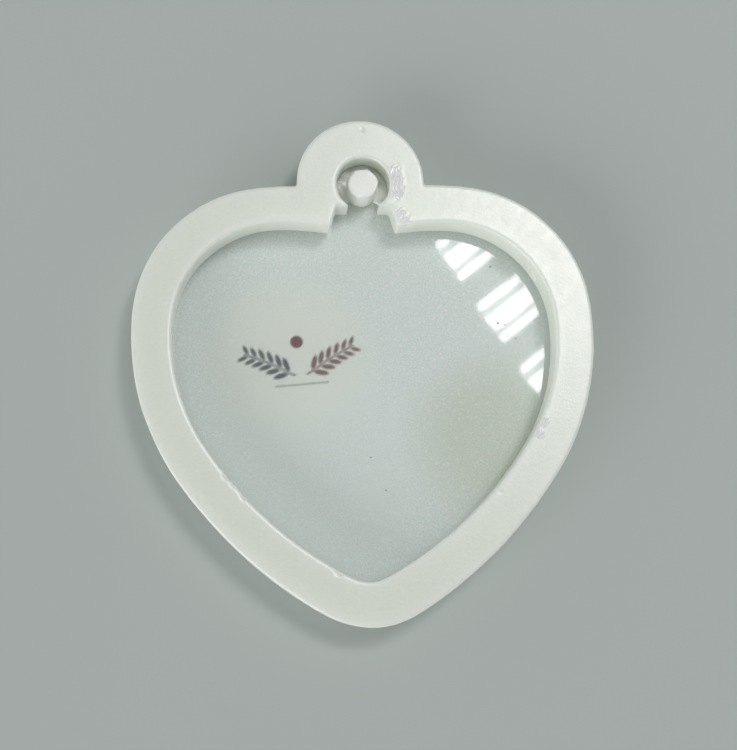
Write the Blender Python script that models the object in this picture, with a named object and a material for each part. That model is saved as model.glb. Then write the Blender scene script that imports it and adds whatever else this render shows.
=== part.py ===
"""Open-pour silicone casting mould for a flat heart-shaped bauble with a neck and a hanging eyelet.

The mould lies flat with its cavity open upwards.  Metres, +Z up, +Y towards the eyelet.  The origin is
the middle of the underside.  From the underside up it is a backing layer, a buried label, a glossy face
layer that is the cavity's floor, and the rim wall with the eyelet core standing in its ring recess.
"""
from math import atan2, cos, pi, radians, sin, sqrt

import bmesh
import bpy
from mathutils import Matrix, Vector

MM = 0.001

# Heights of the poured layers
BACKING_TOP = 1.2 * MM
FLOOR_TOP = 3.2 * MM
RIM_TOP = 9.0 * MM
LAYER_GAP = 0.3 * MM

# Outer outline: right half from the bottom tip round to the flat top, as tangent arcs (radius, turn)
OUTER_TIP_Y = -45.0 * MM
OUTER_ARCS = (
    (15.7 * MM, radians(30.4)),
    (77.8 * MM, radians(25.4)),
    (44.9 * MM, radians(41.1)),
    (24.3 * MM, radians(74.6)),
    (46.5 * MM, radians(8.5)),
)
TAB_CENTRE_Y = 33.6 * MM
TAB_RADIUS = 11.4 * MM

# Cavity outline: a heart with a trapezoid neck and a round eyelet recess
CAVITY_TURN = radians(-0.8)
CAVITY_TIP_Y = -37.45 * MM
CAVITY_ARCS = (
    (6.5 * MM, radians(27.4)),
    (66.2 * MM, radians(30.6)),
    (34.8 * MM, radians(37.4)),
    (19.2 * MM, radians(84.6)),
    (60.0 * MM, radians(8.3)),
)
NECK_TOP_Y = 29.05 * MM
NECK_TOP_HALF_WIDTH = 4.9 * MM
EYELET_CENTRE_Y = 33.2 * MM
EYELET_OUTER_RADIUS = 4.85 * MM
EYELET_HOLE_RADIUS = 2.65 * MM

# Edges and smoothness
RIM_EDGE_ROUND = 0.15 * MM
CORE_EDGE_ROUND = 0.12 * MM
BASE_EDGE_ROUND = 0.25 * MM
ROUND_SEGMENTS = 2
ARC_STEP = 1.1 * MM
EYELET_STEP = 0.55 * MM
SHARP_ANGLE = radians(35)

# Label
LABEL_SIZE = Vector((29.5 * MM, 18.0 * MM))
LABEL_CENTRE = Vector((-13.6 * MM, 3.6 * MM))
LABEL_CORNER = 1.2 * MM
LABEL_THICKNESS = 0.15 * MM
POCKET_DEPTH = 0.5 * MM
CORNER_POINTS = 5


def clear_scene():
    for old in list(bpy.data.objects):
        bpy.data.objects.remove(old, do_unlink=True)


def arc_points(centre, radius, start, end, step):
    """Points on a circle from the start angle to the end angle, both included."""
    count = max(2, round(abs(end - start) * radius / step))
    angles = (start + (end - start) * i / count for i in range(count + 1))
    return [Vector((centre.x + radius * cos(a), centre.y + radius * sin(a))) for a in angles]


def tangent_arcs(start, arcs, step):
    """Points along arcs that follow on tangentially, leaving the start along +X and turning left."""
    points = [start.copy()]
    place = start.copy()
    heading = 0.0
    for radius, turn in arcs:
        count = max(2, round(radius * turn / step))
        part_turn = turn / count
        chord = 2.0 * radius * sin(part_turn / 2.0)
        for _ in range(count):
            direction = heading + part_turn / 2.0
            place = place + chord * Vector((cos(direction), sin(direction)))
            heading += part_turn
            points.append(place.copy())
    return points


def mirrored(points):
    """The same points reflected across the Y axis, in reverse order."""
    return [Vector((-p.x, p.y)) for p in reversed(points)]


def outer_outline():
    """Heart without a notch, closed at the top by the round tab around the eyelet; anticlockwise."""
    right = tangent_arcs(Vector((0.0, OUTER_TIP_Y)), OUTER_ARCS, ARC_STEP)
    drop = right[-1].y - TAB_CENTRE_Y
    base_angle = atan2(drop, sqrt(TAB_RADIUS ** 2 - drop ** 2))
    tab = arc_points(Vector((0.0, TAB_CENTRE_Y)), TAB_RADIUS, base_angle, pi - base_angle, ARC_STEP)
    return right + tab + mirrored(right)[:-1]


def cavity_outline():
    """Heart, neck and eyelet recess in one anticlockwise outline, turned as the master was laid."""
    right = tangent_arcs(Vector((0.0, CAVITY_TIP_Y)), CAVITY_ARCS, ARC_STEP)
    right.append(Vector((NECK_TOP_HALF_WIDTH, NECK_TOP_Y)))
    drop = NECK_TOP_Y - EYELET_CENTRE_Y
    base_angle = atan2(drop, sqrt(EYELET_OUTER_RADIUS ** 2 - drop ** 2))
    centre = Vector((0.0, EYELET_CENTRE_Y))
    ring = arc_points(centre, EYELET_OUTER_RADIUS, base_angle, pi - base_angle, EYELET_STEP)
    turn = Matrix.Rotation(CAVITY_TURN, 2)
    return [turn @ p for p in right + ring + mirrored(right)[:-1]]


def eyelet_centre():
    return Matrix.Rotation(CAVITY_TURN, 2) @ Vector((0.0, EYELET_CENTRE_Y))


def rounded_rectangle(centre, size, corner):
    """Anticlockwise outline of a rectangle with round corners."""
    reach = size / 2.0 - Vector((corner, corner))
    points = []
    for index, (side_x, side_y) in enumerate(((1, 1), (-1, 1), (-1, -1), (1, -1))):
        middle = centre + Vector((side_x * reach.x, side_y * reach.y))
        for i in range(CORNER_POINTS):
            angle = (index + i / (CORNER_POINTS - 1)) * pi / 2.0
            points.append(middle + corner * Vector((cos(angle), sin(angle))))
    return points


def prism(outline, low, high, holes=()):
    """Closed bmesh: the outline, less its holes, extruded from the low to the high level."""
    mesh = bmesh.new()
    edges = []
    for loop in (outline, *holes):
        verts = [mesh.verts.new((p.x, p.y, low)) for p in loop]
        edges += [mesh.edges.new((a, b)) for a, b in zip(verts, verts[1:] + verts[:1])]
    filled = bmesh.ops.triangle_fill(mesh, use_beauty=True, use_dissolve=False, edges=edges)
    base = [item for item in filled["geom"] if isinstance(item, bmesh.types.BMFace)]
    raised = bmesh.ops.extrude_face_region(mesh, geom=base, use_keep_orig=True)
    top = [item for item in raised["geom"] if isinstance(item, bmesh.types.BMVert)]
    bmesh.ops.translate(mesh, verts=top, vec=(0.0, 0.0, high - low))
    bmesh.ops.recalc_face_normals(mesh, faces=mesh.faces)
    return mesh


def disc_prism(centre, radius, low, high, step):
    return prism(arc_points(centre, radius, 0.0, 2.0 * pi, step)[:-1], low, high)


def round_level(mesh, level, amount):
    """Rounds the sharp edges that lie in the given horizontal plane."""
    tolerance = 0.01 * MM
    rim = [
        e for e in mesh.edges
        if all(abs(v.co.z - level) < tolerance for v in e.verts)
        and len(e.link_faces) == 2
        and abs(e.link_faces[0].normal.dot(e.link_faces[1].normal)) < 0.5
    ]
    bmesh.ops.bevel(mesh, geom=rim, offset=amount, segments=ROUND_SEGMENTS, profile=0.5, affect="EDGES")


def material(name, colour, roughness, alpha=1.0):
    finish = bpy.data.materials.new(name)
    finish.use_nodes = True
    shader = finish.node_tree.nodes["Principled BSDF"]
    shader.inputs["Base Color"].default_value = (*colour, 1.0)
    shader.inputs["Roughness"].default_value = roughness
    shader.inputs["Metallic"].default_value = 0.0
    shader.inputs["Alpha"].default_value = alpha
    return finish


def make_object(name, mesh, finish, parent):
    data = bpy.data.meshes.new(name)
    mesh.normal_update()
    mesh.to_mesh(data)
    mesh.free()
    data.shade_smooth()
    data.set_sharp_from_angle(angle=SHARP_ANGLE)
    data.materials.append(finish)
    node = bpy.data.objects.new(name, data)
    node.parent = parent
    bpy.context.scene.collection.objects.link(node)
    return node


def backing_layer(parent):
    """Second pour: the full outline, with its lower edge rounded where it meets the table."""
    mesh = prism(outer_outline(), 0.0, BACKING_TOP)
    round_level(mesh, 0.0, BASE_EDGE_ROUND)
    return make_object("backing_layer", mesh, material("backing silicone", (0.62, 0.68, 0.63), 0.55), parent)


def cavity_floor(parent):
    """Face layer over the whole outline, with a pocket in its back for the label."""
    low = BACKING_TOP + LAYER_GAP
    pocket = rounded_rectangle(LABEL_CENTRE, LABEL_SIZE + Vector((1, 1)) * 2.0 * LAYER_GAP, LABEL_CORNER)
    node = make_object(
        "cavity_floor", prism(outer_outline(), low, FLOOR_TOP),
        material("glossy silicone", (0.50, 0.57, 0.53), 0.08), parent)
    cutter = make_object(
        "pocket_cutter", prism(pocket, low - POCKET_DEPTH, low + POCKET_DEPTH),
        node.data.materials[0], parent)
    cutter.hide_render = True
    cutter.display_type = "WIRE"
    cut = node.modifiers.new("label pocket", "BOOLEAN")
    cut.operation = "DIFFERENCE"
    cut.object = cutter
    return node


def label_film(parent):
    low = BACKING_TOP + LAYER_GAP
    mesh = prism(rounded_rectangle(LABEL_CENTRE, LABEL_SIZE, LABEL_CORNER), low, low + LABEL_THICKNESS)
    return make_object("label_film", mesh, material("label film", (0.72, 0.72, 0.68), 0.4), parent)


def rim_wall(parent):
    """Raised wall between the outer outline and the cavity, with softened top edges."""
    mesh = prism(outer_outline(), FLOOR_TOP + LAYER_GAP, RIM_TOP, holes=(cavity_outline(),))
    round_level(mesh, RIM_TOP, RIM_EDGE_ROUND)
    return make_object("rim_wall", mesh, material("matte silicone", (0.74, 0.78, 0.72), 0.5), parent)


def eyelet_core(parent):
    """Post that leaves the hole in the hanging loop, level with the rim."""
    low = FLOOR_TOP + LAYER_GAP
    mesh = disc_prism(eyelet_centre(), EYELET_HOLE_RADIUS, low, RIM_TOP, EYELET_STEP)
    round_level(mesh, RIM_TOP, CORE_EDGE_ROUND)
    return make_object("eyelet_core", mesh, material("core silicone", (0.78, 0.82, 0.77), 0.45), parent)


def build():
    clear_scene()
    mould = bpy.data.objects.new("mould", None)
    bpy.context.scene.collection.objects.link(mould)
    for make in (backing_layer, label_film, cavity_floor, rim_wall, eyelet_core):
        make(mould)


build()
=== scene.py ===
from math import atan2, cos, pi, radians, sin

import bmesh
import bpy
import numpy as np
from mathutils import Matrix, Vector, noise


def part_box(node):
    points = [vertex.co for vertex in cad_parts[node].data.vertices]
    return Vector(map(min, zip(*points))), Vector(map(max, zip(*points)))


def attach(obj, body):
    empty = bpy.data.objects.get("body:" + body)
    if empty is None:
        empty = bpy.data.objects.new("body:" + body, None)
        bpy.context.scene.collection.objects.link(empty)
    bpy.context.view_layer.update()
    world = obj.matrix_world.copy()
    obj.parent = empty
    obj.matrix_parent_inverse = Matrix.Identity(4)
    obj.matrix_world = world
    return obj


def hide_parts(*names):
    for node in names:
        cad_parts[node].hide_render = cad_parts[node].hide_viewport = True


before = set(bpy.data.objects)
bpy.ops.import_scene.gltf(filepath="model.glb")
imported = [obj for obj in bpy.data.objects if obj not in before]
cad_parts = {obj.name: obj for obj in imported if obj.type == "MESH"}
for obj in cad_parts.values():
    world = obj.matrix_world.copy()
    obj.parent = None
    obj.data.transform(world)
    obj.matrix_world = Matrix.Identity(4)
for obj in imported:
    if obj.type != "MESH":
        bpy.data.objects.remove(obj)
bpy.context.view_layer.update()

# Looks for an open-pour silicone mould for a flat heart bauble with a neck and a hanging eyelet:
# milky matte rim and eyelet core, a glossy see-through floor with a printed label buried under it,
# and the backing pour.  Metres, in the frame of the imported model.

MM = 0.001

FLOOR_LOW, FLOOR_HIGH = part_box("cavity_floor")
CORE_LOW, CORE_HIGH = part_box("eyelet_core")
LABEL_LOW, LABEL_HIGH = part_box("label_film")
RIM_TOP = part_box("rim_wall")[1].z
FLOOR_TOP = FLOOR_HIGH.z
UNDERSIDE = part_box("backing_layer")[0].z
CORE_CENTRE = (CORE_LOW + CORE_HIGH) / 2.0
LABEL_MIDDLE = (LABEL_LOW + LABEL_HIGH) / 2.0

POUR_LINE = 0.02 * MM        # what is left of the slits between the bonded layers
BACKING_FACE = FLOOR_LOW.z - POUR_LINE
BOND_DEPTH = 0.01 * MM       # how far the backs of the pane and the label are sunk into the backing
SUNK_LEVEL = BACKING_FACE - BOND_DEPTH
RIM_VOXEL = 0.275 * MM       # mesh spacing, fine enough for nicks in the rim's edges
CORE_VOXEL = 0.16 * MM
SOFTENING = 1                # rounds of smoothing after an even mesh is made
WELD = 0.001 * MM
LEVEL_REACH = 0.02 * MM      # points this close to a flat end belong to it
SHARP_ANGLE = radians(35)
WHITE = (1.0, 1.0, 1.0)

# Viewpoint: above the lower left of the mould, looking down and a little towards the eyelet
CAMERA_PLACE = Vector((-16.96, -41.88, 231.42)) * MM
CAMERA_AIM = Vector((0.31, -1.75, 9.0)) * MM
CAMERA_ROLL = radians(1.84)
LENS_MM = 63.5
SENSOR_MM = 36.0
NEAR_CLIP = 0.01


# ---------------------------------------------------------------- geometry helpers

def link(name, data):
    piece = bpy.data.objects.new(name, data)
    bpy.context.scene.collection.objects.link(piece)
    return piece


def welded_copy(name, node):
    """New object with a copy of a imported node's mesh, its split corners merged."""
    piece = link(name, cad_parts[node].data.copy())
    piece.data.materials.clear()
    weld = piece.modifiers.new("weld", "WELD")
    weld.merge_threshold = WELD
    settle(piece)
    if "custom_normal" in piece.data.attributes:
        piece.data.attributes.remove(piece.data.attributes["custom_normal"])
    return piece


def settle(piece):
    """Applies the piece's modifiers to its mesh."""
    graph = bpy.context.evaluated_depsgraph_get()
    done = bpy.data.meshes.new_from_object(piece.evaluated_get(graph))
    piece.modifiers.clear()
    old = piece.data
    piece.data = done
    bpy.data.meshes.remove(old)


def points_of(piece):
    flat = np.empty(len(piece.data.vertices) * 3)
    piece.data.vertices.foreach_get("co", flat)
    return flat.reshape(-1, 3)


def normals_of(piece):
    flat = np.empty(len(piece.data.vertices) * 3)
    piece.data.vertices.foreach_get("normal", flat)
    return flat.reshape(-1, 3)


def set_points(piece, points):
    piece.data.vertices.foreach_set("co", points.ravel())
    piece.data.update()


def fine_mesh(piece, voxel):
    """Even fine mesh with its corners slightly softened, ready for surface detail."""
    remesh = piece.modifiers.new("even mesh", "REMESH")
    remesh.mode = "VOXEL"
    remesh.voxel_size = voxel
    soften = piece.modifiers.new("soften", "SMOOTH")
    soften.factor = 0.5
    soften.iterations = SOFTENING
    settle(piece)


def move_level(piece, above, level):
    """Moves the piece's flat top, or its flat underside, to a new level."""
    points = points_of(piece)
    edge = points[:, 2].max() if above else points[:, 2].min()
    points[np.abs(points[:, 2] - edge) < LEVEL_REACH, 2] = level
    set_points(piece, points)


def finish_piece(piece, node, slot, *materials):
    for finish in materials:
        piece.data.materials.append(finish)
    piece.data.shade_smooth()
    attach(piece, "root")
    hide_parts(node)


def waves(points, size, seed):
    """Smooth noise between about -1 and 1 at each point; size is the width of a bump."""
    shift = Vector((seed * 7.31, seed * 3.17, seed * 5.73))
    return np.array([noise.noise(Vector(p) / size + shift) for p in points])


def patch(points, centre, radius):
    """1 at the centre of a round patch in plan, falling softly to 0 outside its radius."""
    away = np.hypot(points[:, 0] - centre[0] * MM, points[:, 1] - centre[1] * MM) / (radius * MM)
    return np.exp(-away ** 4)


# ---------------------------------------------------------------- shader helpers

class Shader:
    """One Principled material and short calls for the nodes that vary it."""

    def __init__(self, name, roughness):
        self.material = bpy.data.materials.new(name)
        self.material.use_nodes = True
        self.tree = self.material.node_tree
        self.surface = self.tree.nodes["Principled BSDF"]
        self.surface.inputs["Roughness"].default_value = roughness
        self.place = self.tree.nodes.new("ShaderNodeTexCoord").outputs["Object"]

    def set(self, **values):
        for name, value in values.items():
            self.surface.inputs[name.replace("_", " ")].default_value = value

    def noise(self, size, detail=2.0, stretch=(1.0, 1.0, 1.0)):
        node = self.tree.nodes.new("ShaderNodeTexNoise")
        node.inputs["Scale"].default_value = 1.0 / size
        node.inputs["Detail"].default_value = detail
        squash = self.tree.nodes.new("ShaderNodeVectorMath")
        squash.operation = "MULTIPLY"
        squash.inputs[1].default_value = stretch
        self.tree.links.new(self.place, squash.inputs[0])
        self.tree.links.new(squash.outputs[0], node.inputs["Vector"])
        return node.outputs["Fac"]

    def spots(self, spacing, size):
        """1 in small round spots, one per cell of the spacing, 0 elsewhere."""
        cells = self.tree.nodes.new("ShaderNodeTexVoronoi")
        cells.inputs["Scale"].default_value = 1.0 / spacing
        self.tree.links.new(self.place, cells.inputs["Vector"])
        return self.ramp(cells.outputs["Distance"], ((size * 0.5, 1.0), (size, 0.0)))

    def near(self, centre, radius):
        """1 round a place, given in mm in plan at rim height, falling to 0 at the radius in mm."""
        node = self.tree.nodes.new("ShaderNodeVectorMath")
        node.operation = "DISTANCE"
        node.inputs[1].default_value = (centre[0] * MM, centre[1] * MM, RIM_TOP)
        self.tree.links.new(self.place, node.inputs[0])
        return self.ramp(self.times(node.outputs["Value"], 1.0 / (radius * MM)), ((0.55, 1.0), (1.0, 0.0)))

    def times(self, first, second):
        node = self.tree.nodes.new("ShaderNodeMath")
        node.operation = "MULTIPLY"
        for socket, value in zip(node.inputs, (first, second)):
            if isinstance(value, bpy.types.NodeSocket):
                self.tree.links.new(value, socket)
            else:
                socket.default_value = value
        return node.outputs[0]

    def wrinkles(self, spacing, angle):
        """Wavering parallel creases at an angle in plan; Blender's are pi / 10 apart at scale 1."""
        turn = self.tree.nodes.new("ShaderNodeMapping")
        turn.inputs["Rotation"].default_value = (0.0, 0.0, angle)
        self.tree.links.new(self.place, turn.inputs["Vector"])
        wave = self.tree.nodes.new("ShaderNodeTexWave")
        wave.inputs["Scale"].default_value = pi / (10.0 * spacing)
        wave.inputs["Distortion"].default_value = 5.0
        wave.inputs["Detail"].default_value = 2.0
        wave.inputs["Detail Scale"].default_value = 1.6
        self.tree.links.new(turn.outputs["Vector"], wave.inputs["Vector"])
        return wave.outputs["Fac"]

    def ramp(self, factor, stops):
        """Colour ramp; each stop is (position, grey) or (position, colour)."""
        node = self.tree.nodes.new("ShaderNodeValToRGB")
        bar = node.color_ramp
        for element, (position, value) in zip(bar.elements, stops[:1] + stops[-1:]):
            element.position = position
            element.color = self.rgba(value)
        for position, value in stops[1:-1]:
            bar.elements.new(position).color = self.rgba(value)
        self.tree.links.new(factor, node.inputs["Fac"])
        return node.outputs["Color"]

    @staticmethod
    def rgba(value):
        return (value, value, value, 1.0) if isinstance(value, float) else (*value, 1.0)

    def mix(self, factor, first, second, blend="MIX"):
        node = self.tree.nodes.new("ShaderNodeMix")
        node.data_type = "RGBA"
        node.blend_type = blend
        for socket, value in zip((node.inputs["Factor"], node.inputs[6], node.inputs[7]),
                                 (factor, first, second)):
            if isinstance(value, bpy.types.NodeSocket):
                self.tree.links.new(value, socket)
            else:
                socket.default_value = value if isinstance(value, float) else self.rgba(value)
        return node.outputs[2]

    def drive(self, name, source):
        self.tree.links.new(source, self.surface.inputs[name])

    def bump(self, height, distance):
        node = self.tree.nodes.new("ShaderNodeBump")
        node.inputs["Distance"].default_value = distance
        node.inputs["Strength"].default_value = 1.0
        self.tree.links.new(height, node.inputs["Height"])
        if self.surface.inputs["Normal"].is_linked:
            before = self.surface.inputs["Normal"].links[0].from_socket
            self.tree.links.new(before, node.inputs["Normal"])
        self.tree.links.new(node.outputs["Normal"], self.surface.inputs["Normal"])


MOTTLE_SIZE = 0.9 * MM
PINHOLE_SPACING = 7.0 * MM
PINHOLE_SIZE = 0.016         # of the spacing
PINHOLE_PAINTED_SHADE = 0.62
ROUGH_PATCH_SIZE = 1.6 * MM
TOOTH_SIZE = 0.42 * MM
TOOTH_HEIGHT = 0.022 * MM
CREASE_HEIGHT = 0.09 * MM
SCAR_PAINTED_SHEEN = (0.98, 0.98, 0.97)
SCAR_SHEEN_COVER = 0.8
SCAR_ROUGHNESS = (0.20, 0.20, 0.20)
SCATTER_DEPTH = 2.2 * MM

# Shiny wrinkled scars in the matte rim, their colour also lightened as a painted sheen: plan place, radius
# and crease spacing in mm, angle
GLOSSY_SCARS = (
    ((6.0, 35.4), 1.5, 0.75, 0.6), ((6.6, 33.4), 1.5, 0.65, 0.2), ((6.7, 31.4), 1.4, 0.60, -0.4),
    ((6.9, 27.6), 1.2, 0.60, 0.9), ((7.9, 26.0), 1.2, 0.60, 0.7), ((30.9, -10.6), 1.1, 0.70, 0.8),
    ((30.0, -12.7), 1.0, 0.65, 0.6),
)


def matte_silicone(name, dark, light, scatter=1.0):
    """Milky silicone cast against a matte board: faint mottling, fine tooth, a few pinholes painted as
    dark spots of shade, and glossy scars painted lighter as a sheen.
    """
    shader = Shader(name, 0.5)
    mottle = shader.ramp(shader.noise(MOTTLE_SIZE, 4.0, (1.0, 1.6, 1.0)), ((0.3, 0.0), (0.7, 1.0)))
    tone = shader.mix(mottle, dark, light)
    scars_and_sheen = None
    for centre, radius, spacing, angle in GLOSSY_SCARS:
        mask = shader.near(centre, radius)
        shader.bump(shader.times(mask, shader.wrinkles(spacing * MM, angle)), CREASE_HEIGHT)
        scars_and_sheen = mask if scars_and_sheen is None else shader.mix(1.0, scars_and_sheen, mask, "ADD")
    # painted shade: small dark spots stand in for the shade inside pinholes
    painted_pinhole_shade = shader.spots(PINHOLE_SPACING, PINHOLE_SIZE)
    # painted sheen: the glossy scars are lightened in colour as if they caught the window's light
    tone = shader.mix(shader.times(scars_and_sheen, SCAR_SHEEN_COVER), tone, SCAR_PAINTED_SHEEN)
    shader.drive("Base Color", shader.mix(painted_pinhole_shade, tone, tuple(PINHOLE_PAINTED_SHADE * c for c in dark)))
    rough = shader.ramp(shader.noise(ROUGH_PATCH_SIZE, 3.0), ((0.3, 0.29), (0.7, 0.34)))
    shader.drive("Roughness", shader.mix(scars_and_sheen, rough, SCAR_ROUGHNESS))
    shader.bump(shader.noise(TOOTH_SIZE, 3.0), TOOTH_HEIGHT)
    shader.set(IOR=1.5, Specular_IOR_Level=1.0)
    shader.set(Subsurface_Weight=scatter, Subsurface_Radius=WHITE)
    shader.set(Subsurface_Scale=SCATTER_DEPTH)
    return shader.material


GRAIN_SIZE = 0.30 * MM
CLOUD_SIZE = 14.0 * MM
GLINT_FLECK_SPACING = 0.90 * MM
GLINT_FLECK_SIZE = 0.30            # of the spacing
PANE_COVER = 0.16            # how far the clear layer hides what lies behind it
SWELL_SIZE = 9.0 * MM        # faint waves in the mirror-smooth face
SWELL_HEIGHT = 0.004 * MM


def speckled(shader, dark, light):
    """Fine cloudy grain with small white flecks, painted glints of the sparkle in the silicone."""
    grain = shader.ramp(shader.noise(GRAIN_SIZE, 2.0), ((0.34, 0.0), (0.66, 1.0)))
    cloud = shader.ramp(shader.noise(CLOUD_SIZE, 2.0), ((0.3, 0.0), (0.7, 1.0)))
    tone = shader.mix(grain, dark, light)
    tone = shader.mix(shader.times(cloud, 0.25), tone, tuple(0.92 * c for c in light))
    # painted glints: small white flecks in the colour
    return shader.mix(shader.spots(GLINT_FLECK_SPACING, GLINT_FLECK_SIZE), tone, WHITE)


def glossy_floor():
    """Mirror-smooth face cast against polished plastic, thin enough to see the label through."""
    shader = Shader("floor_gloss", 0.03)
    shader.drive("Base Color", speckled(shader, (0.76, 0.83, 0.79), (0.86, 0.93, 0.89)))
    shader.bump(shader.noise(SWELL_SIZE, 1.0), SWELL_HEIGHT)
    shader.set(Alpha=PANE_COVER, IOR=2.6, Specular_IOR_Level=1.0)
    shader.set(Coat_Weight=1.0, Coat_Roughness=0.03, Coat_IOR=1.5)
    return shader.material


def dust():
    """Dark matte grains that lie on the floor."""
    shader = Shader("dust", 0.8)
    shader.set(Base_Color=(0.16, 0.17, 0.16, 1.0), Specular_IOR_Level=0.2)
    return shader.material


# Pale clouds in the filling; the lower-left one is also painted light, lifting the floor where the low
# fill leaves it in shade: place and radius as near() takes them, strength, colour
PALE_CLOUDS_AND_PAINTED_LIGHT = (
    ((-13.0, 2.5), 19.0, 0.6, (0.98, 1.0, 0.88)), ((-9.0, -17.0), 25.0, 0.4, (0.93, 1.0, 0.96)),
)

# Painted dim reflection: a warmer, duller stretch of the floor where its gloss mirrors less light, its
# place and radius as near() takes them
DIM_REFLECTION_PLACE = (23.0, -12.0)
DIM_REFLECTION_RADIUS = 19.0
DIM_REFLECTION_TINT = (0.87, 0.87, 0.79)


def backing_face():
    """Speckled top of the backing with pale clouds, the lower-left one partly painted light, and a painted
    dim reflection; bonded to the clear layer, it has no gloss of its own.
    """
    shader = Shader("backing_face", 0.45)
    tone = speckled(shader, (0.77, 0.85, 0.81), (0.95, 1.0, 0.98))
    # pale clouds; the lower-left one partly paints light into the shade at the floor's lower left
    for centre, radius, strength, colour in PALE_CLOUDS_AND_PAINTED_LIGHT:
        tone = shader.mix(shader.times(shader.near(centre, radius), strength), tone, colour)
    # painted reflection: the floor is darkened and warmed here as if it mirrored less light
    painted_dim_reflection = shader.near(DIM_REFLECTION_PLACE, DIM_REFLECTION_RADIUS)
    shader.drive("Base Color", shader.mix(painted_dim_reflection, tone, DIM_REFLECTION_TINT, "MULTIPLY"))
    shader.set(Specular_IOR_Level=0.0)
    return shader.material


INK_FLECK = 0.45 * MM


def printed_film():
    """The label's ink is laid on its mesh points as colour and alpha; the film itself is clear."""
    shader = Shader("label_print", 0.5)
    ink = shader.tree.nodes.new("ShaderNodeAttribute")
    ink.attribute_name = "ink"
    fleck = shader.mix(shader.noise(INK_FLECK, 3.0), (0.90, 0.90, 0.90), WHITE)
    shader.drive("Base Color", shader.mix(1.0, ink.outputs["Color"], fleck, "MULTIPLY"))
    shader.drive("Alpha", ink.outputs["Alpha"])
    shader.set(Specular_IOR_Level=0.1)
    return shader.material


# ---------------------------------------------------------------- the silicone pieces

# Nicks and pinholes in the rim: plan place, radius and depth in mm
RIM_NICKS = (
    ((-24.6, -18.8), 0.7, 0.35), ((-23.4, -20.2), 0.45, 0.30), ((-21.4, -22.2), 0.8, 0.35),
    ((-20.4, -23.3), 0.4, 0.30), ((-5.6, -35.3), 0.9, 0.45), ((21.9, 24.1), 0.35, 0.5),
    ((-37.9, -9.7), 0.5, 0.4), ((0.7, 43.2), 0.22, 0.5), ((-28.4, -22.0), 0.5, 0.12),
    ((-27.0, -24.0), 0.6, 0.12), ((-28.9, -24.6), 0.35, 0.14), ((22.5, -22.7), 0.25, 0.20),
)

# Rough stretches of the cavity wall: plan place, radius in mm, roughness in mm
WALL_ROUGH = (
    ((29.6, 17.0), 3.4, 0.30), ((33.6, 6.0), 2.6, 0.09), ((31.2, -11.8), 2.6, 0.12),
    ((-22.6, -20.6), 3.6, 0.20), ((4.4, 29.0), 2.6, 0.08), ((1.6, 28.6), 2.6, 0.06),
)

RIM_SUNK = 0.35 * MM         # foot of the rim, cast in one with the pane
RIM_TUCK = 0.06 * MM         # how far the buried foot is drawn in, so that it doesn't show outside
TUCK_LEVEL = 0.05 * MM       # above the floor's face, where the drawing in starts
TUCK_BLEND = 0.15 * MM
RIM_RAGGED = 0.12 * MM
RAGGED_SLOW = 7.0 * MM       # sizes of the slow and the quick bumps in the walls, then their shares
RAGGED_QUICK = 1.6 * MM
SLOW_SHARE = 0.7
QUICK_SHARE = 0.3
FOOT_BLEND = 0.8 * MM        # height above the floor over which the walls' unevenness grows
TOP_BLEND = 1.0 * MM         # depth below the top over which its marks fade out
RIM_UNDULATION = 0.012 * MM
UNDULATION_SIZE = 5.0 * MM
WALL_GRAIN = 0.55 * MM
NICK_GRAIN = 0.5 * MM

# Wrinkles in the rim beside the eyelet, and a scuff below them
WRINKLE_RING = 6.4 * MM
WRINKLE_WIDTH = 1.0 * MM
WRINKLE_ANGLE = 0.05
WRINKLE_SPREAD = 0.5
WRINKLE_PITCH = 0.19 * MM
WRINKLE_HEIGHT = 0.10 * MM
WRINKLE_WAVER = 1.4
WRINKLE_WAVES = 9.0
SCUFF_PLACE = (7.4, 26.6)
SCUFF_RADIUS = 1.3
SCUFF_PITCH = 0.17 * MM
SCUFF_HEIGHT = 0.09 * MM
SCUFF_SLANT = 0.6


def ragged_walls(points, normals, amount):
    """Horizontal unevenness of walls cut and cast by hand."""
    steep = np.clip(1.0 - np.abs(normals[:, 2]), 0.0, 1.0)[:, None]
    flat = normals * (1.0, 1.0, 0.0)
    slow = waves(points, RAGGED_SLOW, 1)
    quick = waves(points, RAGGED_QUICK, 2)
    return flat * steep * ((slow * SLOW_SHARE + quick * QUICK_SHARE) * amount)[:, None]


def rim_marks(points):
    """Height changes in the rim's surface: wrinkles by the eyelet, a scuff, nicks and pinholes."""
    across = points[:, 0] - CORE_CENTRE.x
    along = points[:, 1] - CORE_CENTRE.y
    ring = np.hypot(across, along)
    angle = np.arctan2(along, across)
    beside = np.exp(-((ring - WRINKLE_RING) / WRINKLE_WIDTH) ** 4)
    beside = beside * np.exp(-((angle - WRINKLE_ANGLE) / WRINKLE_SPREAD) ** 4)
    phase = ring / WRINKLE_PITCH + WRINKLE_WAVER * np.sin(angle * WRINKLE_WAVES)
    height = beside * np.sin(phase) * WRINKLE_HEIGHT
    scuff = patch(points, SCUFF_PLACE, SCUFF_RADIUS)
    height += scuff * np.sin((points[:, 0] - SCUFF_SLANT * points[:, 1]) / SCUFF_PITCH) * SCUFF_HEIGHT
    rough = 0.6 + 0.4 * waves(points, NICK_GRAIN, 6)
    for centre, radius, depth in RIM_NICKS:
        height -= patch(points, centre, radius) * rough * depth * MM
    return height


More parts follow.
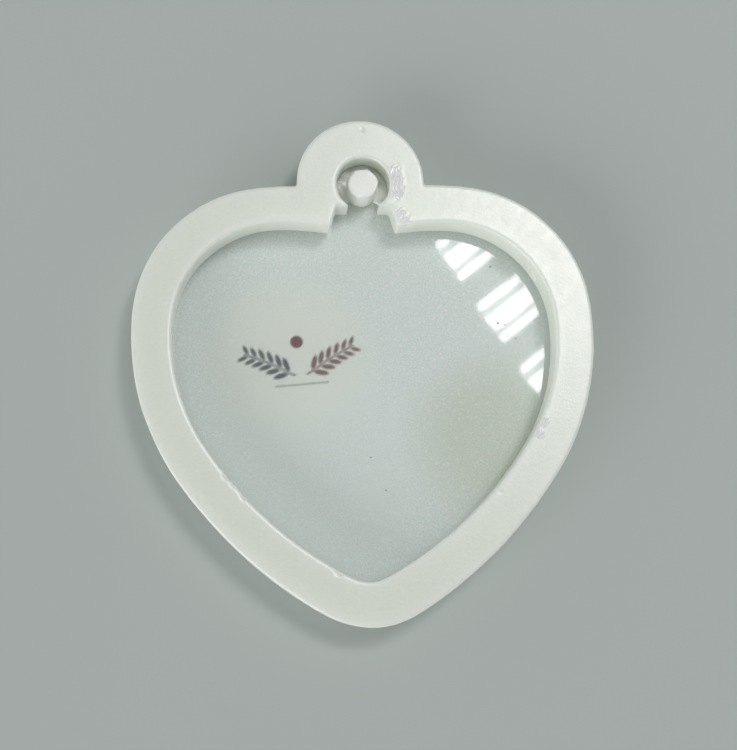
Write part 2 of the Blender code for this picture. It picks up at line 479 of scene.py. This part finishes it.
def rim_casting():
    """The rim wall, with ragged cast walls, a marked top and its foot sunk into the pane."""
    piece = welded_copy("rim_casting", "rim_wall")
    move_level(piece, False, FLOOR_TOP - RIM_SUNK)
    fine_mesh(piece, RIM_VOXEL)
    points, normals = points_of(piece), normals_of(piece)
    buried = np.clip((FLOOR_TOP + TUCK_LEVEL - points[:, 2]) / TUCK_BLEND, 0.0, 1.0)
    points -= normals * (1.0, 1.0, 0.0) * (buried * RIM_TUCK)[:, None]
    above_foot = np.clip((points[:, 2] - FLOOR_TOP) / FOOT_BLEND, 0.0, 1.0)
    steep = 1.0 - np.abs(normals[:, 2])
    moved = points + ragged_walls(points, normals, RIM_RAGGED) * above_foot[:, None]
    top = np.clip((points[:, 2] - RIM_TOP) / TOP_BLEND + 1.0, 0.0, 1.0)
    moved[:, 2] += top * (rim_marks(points) + waves(points, UNDULATION_SIZE, 3) * RIM_UNDULATION)
    grain = waves(points, WALL_GRAIN, 4)
    for centre, radius, depth in WALL_ROUGH:
        rough = patch(points, centre, radius) * grain * depth * MM
        moved += normals * (rough * above_foot * steep)[:, None]
    set_points(piece, moved)
    finish_piece(piece, "rim_wall", "rim_silicone", RIM_FINISH)


# Wrinkled skin that raises the floor of the ring recess, from one side of the neck to the other
SKIN_RADIUS = 4.95 * MM
SKIN_INNER = 1.50 * MM
SKIN_HEIGHT = 1.70 * MM
SKIN_START = radians(-38.0)
SKIN_SWEEP = radians(256.0)
SKIN_STEPS = 64
SKIN_END = 0.25              # height of its two ends, as a share of the full height
SKIN_REACH = 1.2 * SKIN_HEIGHT    # points of the core lower than this belong to the skin
SKIN_BLEND = 0.3 * SKIN_HEIGHT
SKIN_RISE = 0.75             # how high the wrinkled skin stands on average, as a share
SKIN_WRINKLES = ((0.20, 1.5 * MM, 8), (0.14, 0.6 * MM, 9))    # share of the height, size, seed
SKIN_DIP = 0.9               # how far a wrinkle may dip, as a share
CORE_GRAIN = 0.9 * MM
CORE_RAGGED = 0.05           # unevenness of the core's side in mm, and what its top has more
CORE_TOP_RAGGED = 0.17


def add_skin(piece):
    """Adds the skin to the core's mesh as a closed sector of a ring, lower towards its two ends."""
    mesh = bmesh.new()
    mesh.from_mesh(piece.data)
    base = FLOOR_TOP + POUR_LINE
    loops = []
    for i in range(SKIN_STEPS + 1):
        angle = SKIN_START + SKIN_SWEEP * i / SKIN_STEPS
        taper = SKIN_END + (1.0 - SKIN_END) * sin(pi * i / SKIN_STEPS) ** 0.5
        loop = []
        section = (SKIN_INNER, 0.0), (SKIN_RADIUS, 0.0), (SKIN_RADIUS, taper), (SKIN_INNER, taper)
        for radius, level in section:
            x = CORE_CENTRE.x + radius * cos(angle)
            y = CORE_CENTRE.y + radius * sin(angle)
            loop.append(mesh.verts.new((x, y, base + level * SKIN_HEIGHT)))
        loops.append(loop)
    mesh.faces.new(loops[0])
    mesh.faces.new(loops[-1][::-1])
    for near, far in zip(loops, loops[1:]):
        for k, after in ((0, 1), (1, 2), (2, 3), (3, 0)):
            mesh.faces.new((near[k], far[k], far[after], near[after]))
    bmesh.ops.recalc_face_normals(mesh, faces=mesh.faces)
    mesh.to_mesh(piece.data)
    mesh.free()


def core_casting():
    """The eyelet core, joined to the wrinkled skin round its foot."""
    piece = welded_copy("core_casting", "eyelet_core")
    move_level(piece, False, FLOOR_TOP + POUR_LINE)
    add_skin(piece)
    fine_mesh(piece, CORE_VOXEL)
    points, normals = points_of(piece), normals_of(piece)
    skin_limit = FLOOR_TOP + POUR_LINE + SKIN_REACH
    skin = np.clip((skin_limit - points[:, 2]) / SKIN_BLEND, 0.0, 1.0)
    rise = SKIN_RISE
    for share, size, seed in SKIN_WRINKLES:
        rise = rise + share * waves(points, size, seed)
    height = points[:, 2] - FLOOR_TOP - POUR_LINE
    points[:, 2] -= skin * height * np.clip(1.0 - rise, 0.0, SKIN_DIP)
    level = (points[:, 2] - FLOOR_TOP) / (RIM_TOP - FLOOR_TOP)
    flat = normals * (1.0, 1.0, 0.0)
    amount = CORE_RAGGED + CORE_TOP_RAGGED * np.clip(level, 0.0, 1.0) ** 3
    ragged = waves(points, CORE_GRAIN, 5) * amount * MM
    set_points(piece, points + flat * ragged[:, None])
    finish_piece(piece, "eyelet_core", "rim_silicone", CORE_FINISH)


PANE_FACE_DEPTH = 1.0 * MM   # points deeper than this below the face belong to the pane's back
GLOSS_SLOT = 0
SIDE_SLOT = 1
DUST_SLOT = 2

# Grains of dust on the floor's face: plan place and half length in mm
FLOOR_SPECKS = (
    (23.7, 19.0, 0.20), (24.6, 8.4, 0.26), (25.9, 8.1, 0.16), (26.3, 6.0, 0.20), (27.8, 5.6, 0.18),
    (0.7, -15.5, 0.16), (3.2, -21.4, 0.15),
)


def add_specks(mesh):
    """Adds flat closed grains, half sunk in the floor's face."""
    for x, y, half in FLOOR_SPECKS:
        place = Matrix.Translation((x * MM, y * MM, FLOOR_TOP))
        shape = Matrix.Diagonal((half * MM, 0.7 * half * MM, 0.2 * half * MM, 1.0))
        grain = bmesh.ops.create_icosphere(mesh, subdivisions=2, radius=1.0, matrix=place @ shape)
        for face in {face for corner in grain["verts"] for face in corner.link_faces}:
            face.material_index = DUST_SLOT


def floor_pane():
    """The clear face layer; its back, the label's pocket pressed flat, is sunk into the backing."""
    piece = welded_copy("floor_pane", "cavity_floor")
    points = points_of(piece)
    points[points[:, 2] < FLOOR_TOP - PANE_FACE_DEPTH, 2] = SUNK_LEVEL
    set_points(piece, points)
    finish_piece(piece, "cavity_floor", "floor_silicone", FLOOR_FINISH, SIDE_FINISH, dust())
    mesh = bmesh.new()
    mesh.from_mesh(piece.data)
    bmesh.ops.remove_doubles(mesh, verts=mesh.verts, dist=WELD)
    for face in mesh.faces:
        face.material_index = GLOSS_SLOT if face.normal.z > 0.5 else SIDE_SLOT
        face.smooth = abs(face.normal.z) < 0.5
    add_specks(mesh)
    mesh.to_mesh(piece.data)
    mesh.free()
    piece.data.set_sharp_from_angle(angle=SHARP_ANGLE)


OUTSIDE_SLOT = 0
BONDED_SLOT = 1


def backing_pour():
    """The backing, raised to meet the pane, with the face bonded to the pane in its own finish."""
    piece = welded_copy("backing_pour", "backing_layer")
    move_level(piece, True, BACKING_FACE)
    finish_piece(piece, "backing_layer", "backing_silicone", BACKING_FINISH, BONDED_FINISH)
    for face in piece.data.polygons:
        face.material_index = BONDED_SLOT if face.normal.z > 0.5 else OUTSIDE_SLOT
    piece.data.set_sharp_from_angle(angle=SHARP_ANGLE)


# ---------------------------------------------------------------- the buried label

INK_BLUE = (0.015, 0.04, 0.085)
INK_RED = (0.16, 0.012, 0.03)
INK_GREY = (0.14, 0.16, 0.17)
FILM_TONE = (0.99, 1.0, 0.91)    # what the ink's soft edges fade to; the film itself is clear
INK_BLUR = 0.26      # mm over which an ink edge fades, as if seen through milky silicone
LABEL_GRID = 0.2     # mm between the label's mesh points

PRINT_OFFSET = Vector((2.2, -1.1))
PRINT_TURN = radians(4.0)

# A sprig, in mm from the label's middle
STEM_FOOT = (1.2, -2.6)
STEM_REACH = (8.4, 4.4)
STEM_CURL = 1.6
STEM_BOW = 1.0
STEM_DOTS = 24
STEM_DOT = (0.36, 0.16)      # half length and half width
SPRIG_STEPS = 6
FIRST_LEAF = 0.6             # of a step
LEAF_LENGTH = 2.9
LEAF_WIDTH = 1.0
LEAF_LEAN = 0.75
LEAF_STALK = 0.25
LEAF_SHORTENING = 0.35       # towards the sprig's tip
LEAF_NARROWING = 0.3

# The berry and the rule, in mm from the label's middle
BERRY_PLACE = (-0.3, 3.4)
BERRY_RADIUS = 1.15
RULE_LEVEL = -4.4
RULE_PITCH = 0.5
RULE_SIDE_DOTS = 9           # on each side of its middle dot
RULE_DOT = (0.32, 0.17)


def stem_point(side, t):
    """Point on a sprig's curved stem, in mm from the label's middle; t runs from 0 to 1."""
    out = STEM_FOOT[0] + STEM_REACH[0] * t
    up = STEM_FOOT[1] + STEM_REACH[1] * t ** STEM_CURL + STEM_BOW * sin(pi * t)
    return Vector((side * out, up))


def sprig_marks(side):
    """A leafy sprig as (centre, half length, half width, angle) ellipses."""
    marks = []
    for i in range(SPRIG_STEPS):
        t = (i + FIRST_LEAF) / SPRIG_STEPS
        root = stem_point(side, t)
        ahead = stem_point(side, t + 0.02) - root
        along = atan2(ahead.y, ahead.x)
        for lean in (LEAF_LEAN, -LEAF_LEAN):
            angle = along + lean
            reach = LEAF_LENGTH * (1.0 - LEAF_SHORTENING * t) / 2.0
            centre = root + (reach + LEAF_STALK) * Vector((cos(angle), sin(angle)))
            marks.append((centre, reach, LEAF_WIDTH * (1.0 - LEAF_NARROWING * t) / 2.0, angle))
    for i in range(STEM_DOTS):
        marks.append((stem_point(side, i / (STEM_DOTS - 1)), *STEM_DOT, 0.0))
    return marks


def ink_cover(places, marks):
    """How much ink each place has, 0 to 1, from soft-edged ellipses."""
    cover = np.zeros(len(places))
    for centre, half_length, half_width, angle in marks:
        across = places - (centre.x, centre.y)
        u = across[:, 0] * cos(angle) + across[:, 1] * sin(angle)
        v = across[:, 1] * cos(angle) - across[:, 0] * sin(angle)
        depth = (1.0 - np.hypot(u / half_length, v / half_width)) * half_width
        cover = np.maximum(cover, np.clip(depth / INK_BLUR + 0.5, 0.0, 1.0))
    return cover


def print_colours(places):
    """Colour and alpha of the print at each place, in mm from the label's middle."""
    turned = (places - PRINT_OFFSET) @ np.array(Matrix.Rotation(PRINT_TURN, 2))
    colours = np.ones((len(places), 3)) * FILM_TONE
    alpha = np.zeros(len(places))
    berry = [(Vector(BERRY_PLACE), BERRY_RADIUS, BERRY_RADIUS, 0.0)]
    rule = [(Vector((x * RULE_PITCH, RULE_LEVEL)), *RULE_DOT, 0.0)
            for x in range(-RULE_SIDE_DOTS, RULE_SIDE_DOTS + 1)]
    for marks, ink, share in ((sprig_marks(-1), INK_BLUE, 0.92), (sprig_marks(1), INK_RED, 0.9),
                              (berry, INK_RED, 0.95), (rule, INK_GREY, 0.8)):
        cover = (ink_cover(turned, marks) * share)[:, None]
        colours = colours * (1.0 - cover) + np.array(ink) * cover
        alpha = np.maximum(alpha, cover[:, 0])
    return colours, alpha


def slab_faces(columns, rows):
    """Quads of a closed slab: a grid of points for its face, then the same grid for its back."""
    wide = columns + 1
    count = wide * (rows + 1)
    quads = []
    for r in range(rows):
        for c in range(columns):
            a = r * wide + c
            quads.append((a, a + 1, a + 1 + wide, a + wide))
            quads.append((a + count, a + wide + count, a + 1 + wide + count, a + 1 + count))
    edge = list(range(columns))
    edge += [r * wide + columns for r in range(rows)]
    edge += [rows * wide + c for c in range(columns, 0, -1)]
    edge += [r * wide for r in range(rows, 0, -1)]
    for a, b in zip(edge, edge[1:] + edge[:1]):
        quads.append((b, a, a + count, b + count))
    return quads


def label_print():
    """Fine slab in the film's place, whose points carry the print's colours; its back is clear."""
    size = LABEL_HIGH - LABEL_LOW
    columns = round(size.x / (LABEL_GRID * MM))
    rows = round(size.y / (LABEL_GRID * MM))
    xs = np.linspace(-0.5, 0.5, columns + 1) * size.x / MM
    ys = np.linspace(-0.5, 0.5, rows + 1) * size.y / MM
    places = np.array([(x, y) for y in ys for x in xs])
    colours, alpha = print_colours(places)
    plan = [(LABEL_MIDDLE.x + x * MM, LABEL_MIDDLE.y + y * MM) for x, y in places]
    points = [(x, y, z) for z in (LABEL_HIGH.z, SUNK_LEVEL) for x, y in plan]
    mesh = bpy.data.meshes.new("label_print")
    mesh.from_pydata(points, [], slab_faces(columns, rows))
    ink = mesh.color_attributes.new("ink", "FLOAT_COLOR", "POINT")
    face = np.column_stack((colours, alpha))
    back = np.column_stack((colours, np.zeros(len(places))))
    ink.data.foreach_set("color", np.vstack((face, back)).ravel())
    piece = link("printed_label", mesh)
    finish_piece(piece, "label_film", "label", printed_film())


# ---------------------------------------------------------------- floor, lights, camera

TABLE_HALF = 4.0
TABLE_GAP = 0.05 * MM


def table():
    """The plain pale floor that the mould stands on."""
    surface = Shader("pale_table", 0.75)
    tone = surface.mix(surface.noise(0.12, 3.0), (0.50, 0.54, 0.52), (0.53, 0.57, 0.55))
    surface.drive("Base Color", tone)
    mesh = bpy.data.meshes.new("table")
    level = UNDERSIDE - TABLE_GAP
    corners = [(x * TABLE_HALF, y * TABLE_HALF, level) for x, y in ((-1, -1), (1, -1), (1, 1), (-1, 1))]
    mesh.from_pydata(corners, [], [(0, 1, 2, 3)])
    mesh.materials.append(surface.material)
    link("table", mesh)


def area_light(name, place, size, brightness, turn=0.0, aim=None):
    """Rectangular light, facing straight down or the aim; brightness is its radiance."""
    lamp = bpy.data.lights.new(name, "AREA")
    lamp.shape = "RECTANGLE"
    lamp.size, lamp.size_y = size
    lamp.energy = brightness * pi * size[0] * size[1]
    facing = Matrix.Rotation(turn, 4, "Z")
    if aim is not None:
        facing = (Vector(aim) - Vector(place)).to_track_quat("-Z", "Y").to_matrix().to_4x4()
    link(name, lamp).matrix_world = Matrix.Translation(place) @ facing


# A window with a slatted blind, which the glossy floor reflects
BLIND_HEIGHT = 1.0
BLIND_START = Vector((0.150, 0.306))
BLIND_PITCH = Vector((0.0385, -0.0625))
BLIND_TURN = radians(37.0)
BLIND_LENGTH = 0.450
BLIND_SLATS = ((0.0, 0.0085), (0.0195, 0.0165), (0.0375, 0.0085))    # offset and width
BLIND_GROUPS = 3
SLAT_BRIGHTNESS = 8.0
GAP_BRIGHTNESS = 2.2
GAP_WIDTH = 0.040
GAP_BEHIND = 0.005           # how far the sky between the slats lies behind them


def window_blind():
    """Groups of bright slats with dimmer sky behind them."""
    along = Vector((cos(BLIND_TURN), sin(BLIND_TURN)))
    down = BLIND_PITCH.normalized()
    for group in range(BLIND_GROUPS):
        start = BLIND_START + group * BLIND_PITCH + along * BLIND_LENGTH / 2.0
        for index, (offset, width) in enumerate(BLIND_SLATS):
            middle = start + down * offset
            area_light(f"slat_{group}_{index}", (middle.x, middle.y, BLIND_HEIGHT),
                       (BLIND_LENGTH, width), SLAT_BRIGHTNESS, BLIND_TURN)
        middle = start + down * BLIND_SLATS[1][0]
        area_light(f"gap_{group}", (middle.x, middle.y, BLIND_HEIGHT + GAP_BEHIND),
                   (BLIND_LENGTH, GAP_WIDTH), GAP_BRIGHTNESS, BLIND_TURN)


SKY_LOW = (0.95, 1.0, 0.98, 1.0)
SKY_HIGH = (0.26, 0.27, 0.27, 1.0)
SKY_HIGH_FROM = 0.6
SKY_STRENGTH = 0.98


def lights():
    """The window, a low fill for the walls, and soft light all round that is brightest low down."""
    window_blind()
    area_light("window_right", (0.360, 0.270, 1.0), (0.17, 0.28), 6.5)
    area_light("window_far", (0.260, 0.400, 1.0), (0.32, 0.13), 8.5)
    area_light("low_fill", (-0.90, -0.90, 0.50), (1.0, 0.7), 3.2, aim=(0.0, 0.0, 0.0))
    world = bpy.data.worlds.new("studio")
    world.use_nodes = True
    nodes, wires = world.node_tree.nodes, world.node_tree.links
    height = nodes.new("ShaderNodeSeparateXYZ")
    wires.new(nodes.new("ShaderNodeTexCoord").outputs["Generated"], height.inputs[0])
    sky = nodes.new("ShaderNodeValToRGB")
    sky.color_ramp.elements[0].color = SKY_LOW
    sky.color_ramp.elements[1].position = SKY_HIGH_FROM
    sky.color_ramp.elements[1].color = SKY_HIGH
    wires.new(height.outputs["Z"], sky.inputs["Fac"])
    wires.new(sky.outputs["Color"], nodes["Background"].inputs["Color"])
    nodes["Background"].inputs["Strength"].default_value = SKY_STRENGTH
    bpy.context.scene.world = world
    bpy.context.scene.view_settings.view_transform = "Standard"


def camera():
    lens = bpy.data.cameras.new("camera")
    lens.sensor_fit = "HORIZONTAL"
    lens.sensor_width = SENSOR_MM
    lens.lens = LENS_MM
    lens.clip_start = NEAR_CLIP
    holder = link("camera", lens)
    forward = (CAMERA_AIM - CAMERA_PLACE).normalized()
    level = forward.cross(Vector((0, 1, 0))).normalized()
    rolled = Matrix.Rotation(CAMERA_ROLL, 3, forward) @ level
    up = rolled.cross(forward)
    frame_axes = Matrix((rolled, up, -forward)).transposed()
    holder.matrix_world = Matrix.Translation(CAMERA_PLACE) @ frame_axes.to_4x4()
    bpy.context.scene.camera = holder


RIM_FINISH = matte_silicone("rim_matte", (0.850, 0.880, 0.805), (0.885, 0.915, 0.840))
CORE_FINISH = matte_silicone("core_matte", (0.885, 0.912, 0.840), (0.910, 0.938, 0.865))
FLOOR_FINISH = glossy_floor()
SIDE_FINISH = matte_silicone("pane_side", (0.790, 0.820, 0.755), (0.825, 0.855, 0.790), 0.0)
BACKING_FINISH = matte_silicone("backing_outside", (0.775, 0.815, 0.765), (0.815, 0.855, 0.805), 0.0)
BONDED_FINISH = backing_face()

rim_casting()
core_casting()
floor_pane()
backing_pour()
label_print()
table()
lights()
camera()

bpy.context.view_layer.update()
